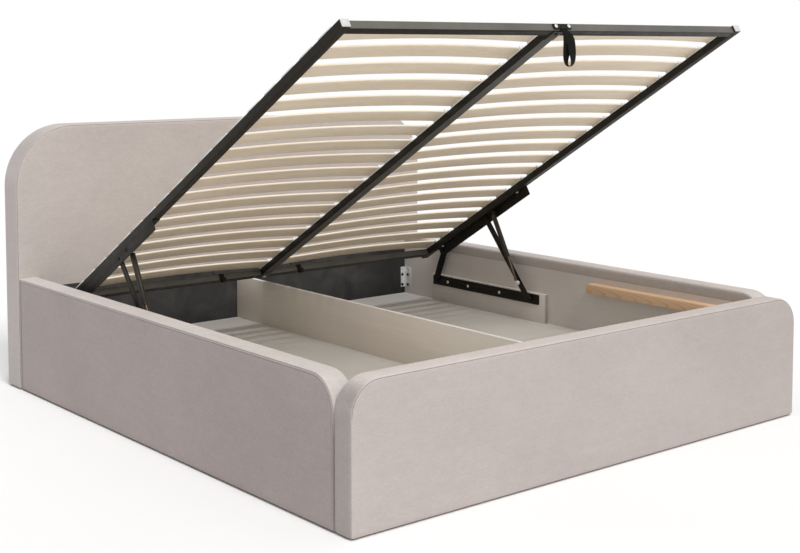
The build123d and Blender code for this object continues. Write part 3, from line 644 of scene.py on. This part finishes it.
class Cover:
    """Fabric cover lofted round an outline, from the middle of its face to its back."""

    def __init__(self, low, high, radii, plain_far, seam_end, to_world):
        self.low, self.high, self.radii = low, high, radii
        self.plain_far = plain_far
        self.seam_end = seam_end
        self.to_world = to_world
        self.rows = []
        self.face_rows = 0

    def row(self, insets, depth, sunk=0.0, pucker=0.0, seam=False):
        """One ring. Its sunk depth and the seam's painted shade fade out near the sides that have no seam."""
        self.rows.append((insets, depth, sunk, pucker, seam))

    def even_row(self, inset, depth, sunk=0.0, pucker=0.0, seam=False):
        """One ring with the same inset on all sides."""
        self.row((inset, inset, inset, inset), depth, sunk, pucker, seam)

    def sewn(self, across, up):
        """Zero at the sides without a seam and below its end, and one away from them."""
        room = up - self.seam_end
        if self.plain_far:
            room = min(room, self.high[0] - across)
        return min(1.0, max(0.0, room / SEAM_FADE - SEAM_FADE_START))

    def ring(self, bm, insets, depth, sunk, pucker):
        """Points of one row, each with its share of the seam."""
        ring = []
        for across, up in loop_points(self.low, self.high, self.radii, insets):
            share = self.sewn(across, up)
            pushed = depth + sunk * share
            if pucker:
                pushed += wobble(self.to_world(across, depth, up), pucker)
            ring.append((bm.verts.new(self.to_world(across, pushed, up)), share))
        return ring

    def mesh(self, closed_back):
        """Faces between the rows, over the middle of the face and, if asked, over the back."""
        bm = bmesh.new()
        rings = []
        for insets, depth, sunk, pucker, seam in self.rows:
            rings.append((self.ring(bm, insets, depth, sunk, pucker), seam))
        count = len(rings[0][0])
        for index, ((first, first_seam), (second, second_seam)) in enumerate(zip(rings, rings[1:])):
            in_face = index + 1 < self.face_rows
            for step in range(count):
                following = (step + 1) % count
                corners = (first[step], first[following], second[following], second[step])
                face = bm.faces.new([vert for vert, share in corners])
                if first_seam and second_seam and corners[0][1] > SEAM_SHOWN:
                    face.material_index = SEAM_INDEX
                elif in_face:
                    face.material_index = FACE_INDEX
        cap = bm.faces.new([vert for vert, share in reversed(rings[0][0])])
        cap.material_index = FACE_INDEX
        if closed_back:
            bm.faces.new([vert for vert, share in rings[-1][0]])
        return bm


# Rows of a cover, in metres. Face and rim: inset, depth, pucker.
FACE_ROWS = (
    (0.220, 0.0, 0.0),
    (0.120, 0.0, 0.0002),
    (0.060, 0.0, 0.0003),
    (0.036, 0.0, 0.0003),
    (0.022, 0.0, 0.0004),
    (0.0135, 0.0001, 0.0004),
)
RIM_ROWS = (
    (0.0090, 0.0004, 0.0003),
    (0.0066, 0.0010, 0.0002),
)
# Groove under the stitches: inset, sunk depth, in the seam's painted shade or not
STITCH_ROWS = (
    (0.0122, 0.0, False),
    (0.0118, 0.0007, True),
    (0.0112, 0.0011, True),
    (0.0106, 0.0007, True),
    (0.0102, 0.0, False),
)
STITCH_DEPTH = 0.0002
# Seam: inset, depth, sunk depth
SEAM_ROWS = (
    (0.0056, 0.0014, 0.0004),
    (0.0053, 0.0015, 0.0016),
    (0.0045, 0.0016, 0.0016),
    (0.0041, 0.0017, 0.0004),
)
# Rounded edge: inset, depth, pucker
EDGE_ROWS = (
    (0.0032, 0.0023, 0.00025),
    (0.0020, 0.0042, 0.00025),
    (0.0009, 0.0072, 0.00025),
    (0.0002, 0.0108, 0.00025),
    (0.0, 0.0150, 0.0),
)
# The most that a row of the face is inset from a side without a seam
PLAIN_INSET = 0.060
# Rounded back edge: inset, distance from the back
BACK_ROWS = (
    (0.0, 0.0140),
    (0.0008, 0.0075),
    (0.0030, 0.0030),
    (0.0065, 0.0008),
    (0.0110, 0.0),
)
# The turned fabric: its first inset, steps to its edge, height over the back and inset at the bottom
TURN_START = 0.011
TURN_STEPS = 4
TURN_PROUD = 0.0004
TURN_LOWER = 0.0016
# Hem: added to the near and upper insets, added to the far and lower ones, height over the back, pucker
HEM_ROWS = (
    (-0.0012, 0.0, 0.0004, 0.0002),
    (0.0, 0.0004, -0.0002, 0.0),
    (0.0002, 0.0006, -0.0060, 0.0),
)
# Radii of a cover's lower corners, and of the three small corners of a rail's cover
LOWER_RADIUS = 0.012
RAIL_RADIUS = 0.002
# Width of the fabric turned in at a rail's foot end, head end and top
RAIL_TURN = (0.0030, 0.0016, STRIP_DEPTH)
# The footboard's seam ends this far below its top
FOOT_SEAM_LENGTH = 0.112
# A rail's cover is pressed this far into the footboard's
PRESSED = 0.0008
# Edges of a cover shorter than this are dissolved
LEAST_EDGE = 0.00001


def add_front(cover, stitched):
    """Face, optional line of stitches, sunk seam and rounded edge."""
    for inset, depth, pucker in FACE_ROWS:
        plain = min(inset, PLAIN_INSET)
        cover.row((inset, plain if cover.plain_far else inset, plain, inset), depth, 0.0, pucker)
    if stitched:
        for inset, sunk, seam in STITCH_ROWS:
            cover.even_row(inset, STITCH_DEPTH, sunk, seam=seam)
    for inset, depth, pucker in RIM_ROWS:
        cover.even_row(inset, depth, pucker=pucker)
    cover.face_rows = len(cover.rows)
    for inset, depth, sunk in SEAM_ROWS:
        cover.even_row(inset, depth, sunk, seam=True)
    for inset, depth, pucker in EDGE_ROWS:
        cover.even_row(inset, depth, pucker=pucker)


def turned_in(edge, share):
    """Inset of the turned fabric, a share of its way to its edge."""
    return TURN_START + (edge - TURN_START) * share


def add_turned_back(cover, thickness, turned):
    """Back edge without a seam, and the fabric turned in over the inner board."""
    near, far, above = turned
    for inset, depth in BACK_ROWS:
        cover.row((min(inset, near / 2), min(inset, far / 2), inset / 8, inset), thickness - depth)
    for step in range(1, TURN_STEPS):
        share = step / TURN_STEPS
        sides = [edge if edge < TURN_START else turned_in(edge, share) for edge in (near, far)]
        cover.row((*sides, TURN_LOWER, turned_in(above, share)), thickness + TURN_PROUD)
    for sewn_side, plain_side, behind, pucker in HEM_ROWS:
        insets = (near + sewn_side, far + plain_side, TURN_LOWER + plain_side, above + sewn_side)
        cover.row(insets, thickness + behind, pucker=pucker)


def sewn_cover(name, node_name, cover, closed_back, edge_fabric, face_fabric):
    """The finished cover in place of its CAD node."""
    bm = cover.mesh(closed_back)
    bmesh.ops.dissolve_degenerate(bm, dist=LEAST_EDGE, edges=bm.edges)
    piece = finish_mesh(name, bm, [edge_fabric, SEAM, face_fabric], smooth_angle=60)
    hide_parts(node_name)
    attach(piece, "bed_base")


def upright_cover(low, high, top_radius, seam_end):
    """Cover of the headboard or footboard, as far as the middle of its edge."""

    def to_world(across, depth, up):
        return Vector((across, low.y + depth, up))

    radii = (LOWER_RADIUS, top_radius, top_radius, LOWER_RADIUS)
    cover = Cover((low.x, low.z), (high.x, high.z), radii, False, seam_end, to_world)
    add_front(cover, False)
    cover.even_row(0.0, (high.y - low.y) / 2)
    return cover


def headboard_cover():
    """Cover of the headboard, sewn the same way in front and behind."""
    low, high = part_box("headboard_upholstery")
    thickness = high.y - low.y
    cover = upright_cover(low, high, HEADBOARD_RADIUS, low.z)
    for insets, depth, sunk, pucker, seam in reversed(cover.rows[:-1]):
        cover.row(insets, thickness - depth, -sunk, pucker, seam)
    sewn_cover("headboard_cover", "headboard_upholstery", cover, True, FABRIC, FABRIC)


def footboard_cover():
    """Cover of the footboard, turned in over the board behind it."""
    low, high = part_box("footboard_upholstery")
    cover = upright_cover(low, high, SIDE_RADIUS, high.z - FOOT_SEAM_LENGTH)
    side = high.x - RAIL_INNER
    add_turned_back(cover, high.y - low.y, (side, side, STRIP_DEPTH))
    sewn_cover("footboard_cover", "footboard_upholstery", cover, False, FOOT_FABRIC, FOOT_FABRIC)


def rail_cover(side, sign):
    """Cover of one side rail, with a line of stitches beside its seam."""
    node_name = f"side_rail_upholstery_{side}"
    low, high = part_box(node_name)
    outer = max(abs(low.x), abs(high.x))
    thickness = outer - RAIL_INNER

    def to_world(across, depth, up):
        return Vector((sign * (outer - depth), across, up))

    radii = (RAIL_RADIUS, RAIL_RADIUS, SIDE_RADIUS, RAIL_RADIUS)
    cover = Cover((low.y - PRESSED, low.z), (high.y, high.z), radii, True, low.z, to_world)
    add_front(cover, True)
    cover.even_row(0.0, thickness / 2)
    add_turned_back(cover, thickness, RAIL_TURN)
    # The rail's outer face takes the darker copy of the velvet, which is painted shade
    sewn_cover(f"side_rail_cover_{side}", node_name, cover, False, RAIL_EDGE, SHADED_RAIL_FABRIC)


headboard_cover()
footboard_cover()
rail_cover("left", -1)
rail_cover("right", 1)


# Stitches on the rails: how far in from the outline, the bottom and the head end, and how far apart
STITCH_INSET = 0.0112
STITCH_BOTTOM = 0.030
STITCH_HEAD_END = 0.022
STITCH_PITCH = 0.0062
# Half length, radius and sunk depth of a stitch
STITCH_REACH = 0.0019
STITCH_RADIUS = 0.00038
STITCH_SUNK = 0.0007
# Rings of one stitch: place as a share of its half length, and width as a share of its radius
STITCH_RINGS = ((-1.0, 0.2), (-0.55, 1.0), (0.55, 1.0), (1.0, 0.2))
STITCH_SIDES = 6


def stitch_places(low, high):
    """Y, Z and slope in degrees of each stitch, up a rail's foot end, round its corner and along its top."""
    radius = SIDE_RADIUS - STITCH_INSET
    centre_y, centre_z = low.y + SIDE_RADIUS, high.z - SIDE_RADIUS
    bottom = low.z + STITCH_BOTTOM
    places = []
    for step in range(int((centre_z - bottom) / STITCH_PITCH)):
        places.append((low.y + STITCH_INSET, bottom + STITCH_PITCH * step, 90))
    turns = int(radius * math.pi / 2 / STITCH_PITCH)
    for step in range(turns):
        angle = math.radians(180 - 90 * step / turns)
        slope = 90 - 90 * step / turns
        places.append((centre_y + radius * math.cos(angle), centre_z + radius * math.sin(angle), slope))
    run = high.y - STITCH_HEAD_END - centre_y
    for step in range(int(run / STITCH_PITCH)):
        places.append((centre_y + STITCH_PITCH * step, high.z - STITCH_INSET, 0))
    return places


def topstitch(side, sign):
    """Thread stitches beside the seam of a rail."""
    low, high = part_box(f"side_rail_upholstery_{side}")
    surface = max(abs(low.x), abs(high.x)) - STITCH_SUNK
    bm = bmesh.new()
    for y, z, slope in stitch_places(low, high):
        along_y, along_z = math.cos(math.radians(slope)), math.sin(math.radians(slope))
        rings = []
        for share, wide in STITCH_RINGS:
            ring = []
            for step in range(STITCH_SIDES):
                angle = math.radians(360 / STITCH_SIDES * step)
                across = STITCH_RADIUS * wide * math.cos(angle)
                out = STITCH_RADIUS * wide * math.sin(angle)
                ring.append(bm.verts.new((
                    sign * (surface + out),
                    y + along_y * STITCH_REACH * share - along_z * across,
                    z + along_z * STITCH_REACH * share + along_y * across,
                )))
            rings.append(ring)
        skin(bm, rings, [0] * STITCH_SIDES)
    piece = finish_mesh(f"side_rail_topstitch_{side}", bm, [THREAD], smooth_angle=60)
    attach(piece, "bed_base")


topstitch("left", -1)
topstitch("right", 1)


# The rounding of a slat's long edges, the steps of each quarter of it, and the sections along a slat
SLAT_ROUND = 0.0030
SLAT_ROUND_STEPS = 3
SLAT_SECTIONS = 26
# A strip belongs to the edge in this share of the rounding, and this far from the upper and lower face
SLAT_EDGE_SHARE = 0.95
SLAT_EDGE_MARGIN = 0.0001


def slat_outline():
    """Section of a slat, as distances along the platform from its middle and heights above its underside."""
    reach = SLAT_WIDTH / 2 - SLAT_ROUND
    upper = SLAT_THICKNESS - SLAT_ROUND
    outline = []
    for centre_a, centre_h, start in (
        (reach, SLAT_ROUND, -90),
        (reach, upper, 0),
        (-reach, upper, 90),
        (-reach, SLAT_ROUND, 180),
    ):
        for step in range(SLAT_ROUND_STEPS + 1):
            angle = math.radians(start + 90 / SLAT_ROUND_STEPS * step)
            outline.append((centre_a + SLAT_ROUND * math.cos(angle), centre_h + SLAT_ROUND * math.sin(angle)))
    return outline


def slat_indices(outline):
    """One for the strips on a slat's long edges, and zero for its faces."""
    edge_start = SLAT_WIDTH / 2 - SLAT_ROUND * SLAT_EDGE_SHARE
    indices = []
    for first, second in zip(outline, outline[1:] + outline[:1]):
        middle_a = abs(first[0] + second[0]) / 2
        middle_h = (first[1] + second[1]) / 2
        between = SLAT_EDGE_MARGIN < middle_h < SLAT_THICKNESS - SLAT_EDGE_MARGIN
        indices.append(1 if middle_a > edge_start and between else 0)
    return indices


def slat_row(name, ends, node_name):
    """One row of sprung slats with rounded long edges."""
    bm = bmesh.new()
    outline = slat_outline()
    indices = slat_indices(outline)
    for number in range(SLAT_COUNT):
        middle = SLAT_FIRST - SLAT_PITCH * number
        rings = []
        for section in range(SLAT_SECTIONS + 1):
            share = section / SLAT_SECTIONS
            x = ends[0] + (ends[1] - ends[0]) * share
            lift = SLAT_LOW + SLAT_BOW * (1 - (2 * share - 1) ** 2)
            rings.append([bm.verts.new(place(x, middle + a, lift + h)) for a, h in outline])
        skin(bm, rings, indices)
    piece = finish_mesh(name, bm, [SLAT_FACE, SLAT_EDGE], smooth_angle=50)
    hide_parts(node_name)
    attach(piece, "platform")


slat_row("slat_row_left", LEFT_SLAT, "slats_left")
slat_row("slat_row_right", RIGHT_SLAT, "slats_right")


# Top of the strap's loop: distance off the foot tube, and height over the underside of the tubes
STRAP_TOP = (0.0035, 0.004)
# The level directions that the loop opens in and goes back in
STRAP_SIDEWAYS = Vector((0.7735, -0.6338, 0))
STRAP_AWAY = Vector((0.6338, 0.7735, 0))
# How the loop hangs, leans, swells and bends in metres, spreads and widens in shares, and twists in degrees
STRAP_DROP = 0.117
STRAP_LEAN = 0.022
STRAP_SWELL = (0.0030, 0.0080, 0.0110)
STRAP_SPREAD = 0.12
STRAP_BEND = (0.002, -0.004)
STRAP_TWIST = (52, -30, 34, 18)
STRAP_SHARE = (0.62, 0.34)
STRAP_STEPS = 48
# The ends tucked in behind its plate: height above the top, distance toward the headboard, share of the width
STRAP_END = (0.012, 0.001, 0.66)
# Section of the webbing, in shares of half its width and thickness
STRAP_SECTION = (
    (-1, 0), (-0.93, 0.85), (0, 1), (0.93, 0.85),
    (1, 0), (0.93, -0.85), (0, -1), (-0.93, -0.85),
)


def strap_path():
    """Middle line of the webbing loop, its front leg first, with the direction and share of its width."""
    off_face, above = STRAP_TOP
    top = place(STRAP_X, FOOT_TUBE_FACE + off_face, above)
    path = []
    for step in range(STRAP_STEPS + 1):
        turn = 2 * math.pi * (step / STRAP_STEPS)
        down = (1 - math.cos(turn)) / 2
        spread = 1 - math.exp(-down / STRAP_SPREAD)
        swell = -math.sin(turn) * (STRAP_SWELL[0] + STRAP_SWELL[1] * down + STRAP_SWELL[2] * down ** 4)
        bend = STRAP_BEND[0] + STRAP_BEND[1] * math.cos(turn / 2)
        middle = top + STRAP_SIDEWAYS * (swell + STRAP_LEAN * spread) + STRAP_AWAY * bend
        middle += Vector((0, 0, -STRAP_DROP * down))
        start, opened, lower, lowest = STRAP_TWIST
        twist = math.radians(start + opened * spread + lower * down + lowest * down ** 4)
        across = STRAP_SIDEWAYS * math.cos(twist) + STRAP_AWAY * math.sin(twist)
        path.append((middle, across, STRAP_SHARE[0] + STRAP_SHARE[1] * spread))
    return path


def strap():
    """Webbing loop that hangs from the foot tube and opens toward its lower end."""
    path = strap_path()
    level = Vector((1, 0, 0))
    up = place(0, 0, 1) - place(0, 0, 0)
    height, inward, end_share = STRAP_END
    front = path[0][0] + up * height + Vector((0, inward, 0))
    back = path[-1][0] + up * height + Vector((0, inward, 0))
    path.insert(0, (front, level, end_share))
    path.append((back, level, end_share))
    bm = bmesh.new()
    rings = []
    half = STRAP_WIDTH / 2
    thick = STRAP_THICKNESS / 2
    for index, (middle, across, share) in enumerate(path):
        before = path[max(index - 1, 0)][0]
        after = path[min(index + 1, len(path) - 1)][0]
        normal = (after - before).normalized().cross(across).normalized()
        ring = []
        for wide, deep in STRAP_SECTION:
            ring.append(bm.verts.new(middle + across * half * share * wide + normal * thick * deep))
        rings.append(ring)
    skin(bm, rings, [0] * len(STRAP_SECTION))
    piece = finish_mesh("pull_strap_loop", bm, [WEBBING], smooth_angle=50)
    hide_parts("pull_strap")
    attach(piece, "platform")


strap()


# The floor reaches this far from the middle
FLOOR_REACH = 40.0
# Light from all around, and how bright the backdrop looks
WORLD_LIGHT = (0.985, 0.985, 0.985, 1)
WORLD_STRENGTH = 0.58
BACKDROP_STRENGTH = 1.0
# Name, direction toward the sun, angle it fills in degrees, power and colour
SUNS = (
    ("front_sun", (-0.10, -0.70, 0.70), 22.0, 1.60, (1.0, 0.99, 0.98)),
    ("top_sun", (-0.05, -0.12, 1.0), 9.0, 0.95, (1.0, 0.995, 0.99)),
)
# The camera that fits the photograph, with its angles in degrees and its lens in millimetres
CAMERA_PLACE = (-3.1252, -3.9078, 1.3082)
CAMERA_DOWN = 4.31
CAMERA_TURN = -39.33
LENS = 61.38
SENSOR_WIDTH = 36.0
SHIFT_UP = -0.158


def studio_floor():
    """Plain pale floor."""
    bm = bmesh.new()
    corners = ((-1, -1), (1, -1), (1, 1), (-1, 1))
    bm.faces.new([bm.verts.new((x * FLOOR_REACH, y * FLOOR_REACH, 0)) for x, y in corners])
    made = Material("studio_floor", 0.85, specular=0.1)
    made.link("Base Color", made.ramp(made.noise(0.8, 3.0), NOISE_RANGE, grey(0.83), grey(0.85)))
    made.link("Normal", made.bump(made.noise(300.0, 2.0), strength=0.05, distance=0.0003))
    floor = finish_mesh("studio_floor", bm, [made.material], smooth_angle=40)


def studio_world():
    """Soft light from all around, and a white backdrop."""
    world = bpy.data.worlds.new("studio")
    bpy.context.scene.world = world
    world.use_nodes = True
    tree = world.node_tree
    lit = tree.nodes["Background"]
    lit.inputs["Color"].default_value = WORLD_LIGHT
    lit.inputs["Strength"].default_value = WORLD_STRENGTH
    seen = tree.nodes.new("ShaderNodeBackground")
    seen.inputs["Color"].default_value = grey(1)
    seen.inputs["Strength"].default_value = BACKDROP_STRENGTH
    ray = tree.nodes.new("ShaderNodeLightPath")
    mixed = tree.nodes.new("ShaderNodeMixShader")
    tree.links.new(ray.outputs["Is Camera Ray"], mixed.inputs[0])
    tree.links.new(lit.outputs[0], mixed.inputs[1])
    tree.links.new(seen.outputs[0], mixed.inputs[2])
    tree.links.new(mixed.outputs[0], tree.nodes["World Output"].inputs["Surface"])


def studio_suns():
    """Two soft suns."""
    for name, toward, width, power, colour in SUNS:
        data = bpy.data.lights.new(name, "SUN")
        data.angle = math.radians(width)
        data.energy = power
        data.color = colour
        light = bpy.data.objects.new(name, data)
        light.rotation_euler = Vector(toward).to_track_quat("Z", "Y").to_euler()
        bpy.context.scene.collection.objects.link(light)


def studio_camera():
    """Camera at the photograph's angle, with colours shown as they are."""
    data = bpy.data.cameras.new("camera")
    data.lens = LENS
    data.sensor_width = SENSOR_WIDTH
    data.shift_y = SHIFT_UP
    camera = bpy.data.objects.new("camera", data)
    camera.location = CAMERA_PLACE
    camera.rotation_euler = (math.radians(90 - CAMERA_DOWN), 0, math.radians(CAMERA_TURN))
    bpy.context.scene.collection.objects.link(camera)
    bpy.context.scene.camera = camera
    bpy.context.scene.view_settings.view_transform = "Standard"


studio_floor()
studio_world()
studio_suns()
studio_camera()
